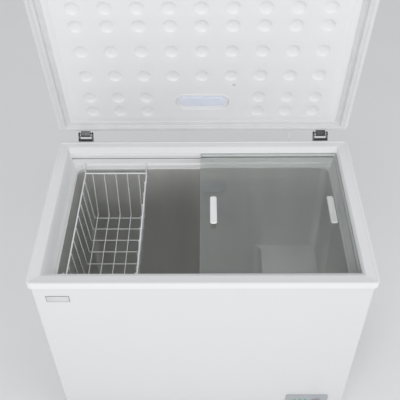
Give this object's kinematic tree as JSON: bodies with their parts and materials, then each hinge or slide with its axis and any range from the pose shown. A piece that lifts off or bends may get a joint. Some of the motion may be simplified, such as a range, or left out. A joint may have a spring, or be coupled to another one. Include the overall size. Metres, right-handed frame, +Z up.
{
  "type": "solar chest freezer",
  "caption": "White chest freezer with its lid open, sliding tinted glass panels, a hanging wire basket, an aluminium-lined tub and a lit, dimpled inner lid.",
  "frame": {"origin": "on the floor, under the centre of the cabinet's plan", "axes": "+X to the right as seen from the front, +Y to the back where the lid is hinged, +Z up"},
  "size_m": [0.95, 0.6549, 1.4217],
  "materials": {
    "painted_white": "gloss",
    "galvanised_steel": "satin",
    "insulation": "matte",
    "embossed_aluminium": "satin",
    "white_moulding": "satin",
    "grey_plastic": "satin",
    "indicator_green": "gloss",
    "black_rubber": "matte",
    "dark_chrome": "polished",
    "white_lead": "satin",
    "black_enamel": "satin",
    "cast_aluminium": "matte",
    "copper": "satin",
    "lid_panel": "satin",
    "grey_rubber": "matte",
    "lamp_lens": "satin",
    "lamp_board": "matte",
    "tinted_glass": "gloss",
    "coated_wire": "gloss"
  },
  "bodies": {
    "cabinet": {"front_panel": "painted_white", "left_panel": "painted_white", "right_panel": "painted_white", "back_panel": "galvanised_steel", "base_pan": "galvanised_steel", "foam_body": "insulation", "liner": "embossed_aluminium", "bay_panel": "galvanised_steel", "rim_frame": "white_moulding", "badge_plate": "galvanised_steel", "hole_plugs": "grey_plastic", "drain_pipe": "white_moulding", "drain_spout": "white_moulding", "control_panel": "grey_plastic", "indicator_lamps": "indicator_green", "thermostat": "grey_plastic", "foot_pads": "black_rubber", "foot_stems": "galvanised_steel", "roller_brackets": "galvanised_steel", "roller_axles": "galvanised_steel", "hinge_brackets": "dark_chrome", "hinge_pins": "dark_chrome", "hinge_springs": "dark_chrome", "cabinet_lead_grommet": "black_rubber", "lamp_lead": "white_lead", "side_grille": "grey_plastic", "compressor": "black_enamel", "compressor_mounts": "black_rubber", "control_unit": "cast_aluminium", "filter_drier": "copper", "machine_pipes": "copper", "condenser_pipe": "copper", "evaporator_pipe": "copper", "supply_gland": "black_rubber"},
    "lid": {"lid_skin": "painted_white", "lid_foam": "insulation", "lid_liner": "lid_panel", "lid_gasket": "grey_rubber", "lamp_tray": "white_moulding", "lamp_lens": "lamp_lens", "lamp_board": "lamp_board", "hinge_arms": "dark_chrome", "lid_lead_grommet": "black_rubber"},
    "upper_glass": {"upper_glass": "tinted_glass", "upper_glass_handle": "white_moulding"},
    "lower_glass": {"lower_glass": "tinted_glass", "lower_glass_handle": "white_moulding"},
    "basket": {"basket_hangers": "coated_wire", "basket_end_rails": "coated_wire", "basket_floor": "coated_wire", "basket_left": "coated_wire", "basket_right": "coated_wire", "basket_front": "coated_wire", "basket_back": "coated_wire"},
    "thermostat_knob": {"thermostat_knob": "grey_plastic"},
    "drain_cap": {"drain_cap": "white_moulding"},
    "front_roller": {"front_roller": "grey_rubber"},
    "back_roller": {"back_roller": "grey_rubber"}
  },
  "joints": [
    {"name": "lid_hinge", "type": "hinge", "parent": "cabinet", "child": "lid", "pos_m": [0, 0.3148, 0.8137], "axis": [-1, 0, 0], "range_deg": [-81, 0], "deforming": ["lamp_lead"]},
    {"name": "upper_glass_slide", "type": "slide", "parent": "cabinet", "child": "upper_glass", "axis": [1, 0, 0], "range_m": [-0.4255, 0]},
    {"name": "lower_glass_slide", "type": "slide", "parent": "cabinet", "child": "lower_glass", "axis": [1, 0, 0], "range_m": [-0.4195, 0]},
    {"name": "basket_lift", "type": "slide", "parent": "cabinet", "child": "basket", "axis": [0, 0, 1], "range_m": [0, 0.26]},
    {"name": "knob_turn", "type": "hinge", "parent": "cabinet", "child": "thermostat_knob", "pos_m": [0.377, -0.292, 0.15], "axis": [0, -1, 0], "range_deg": [-270, 0]},
    {"name": "drain_cap_pull", "type": "slide", "parent": "cabinet", "child": "drain_cap", "axis": [0, -1, 0], "range_m": [0, 0.03]},
    {"name": "front_roller_spin", "type": "hinge", "parent": "cabinet", "child": "front_roller", "pos_m": [-0.414, -0.25, 0.0165], "axis": [0, 1, 0], "continuous": true},
    {"name": "back_roller_spin", "type": "hinge", "parent": "cabinet", "child": "back_roller", "pos_m": [-0.414, 0.25, 0.0165], "axis": [0, 1, 0], "continuous": true}
  ]
}
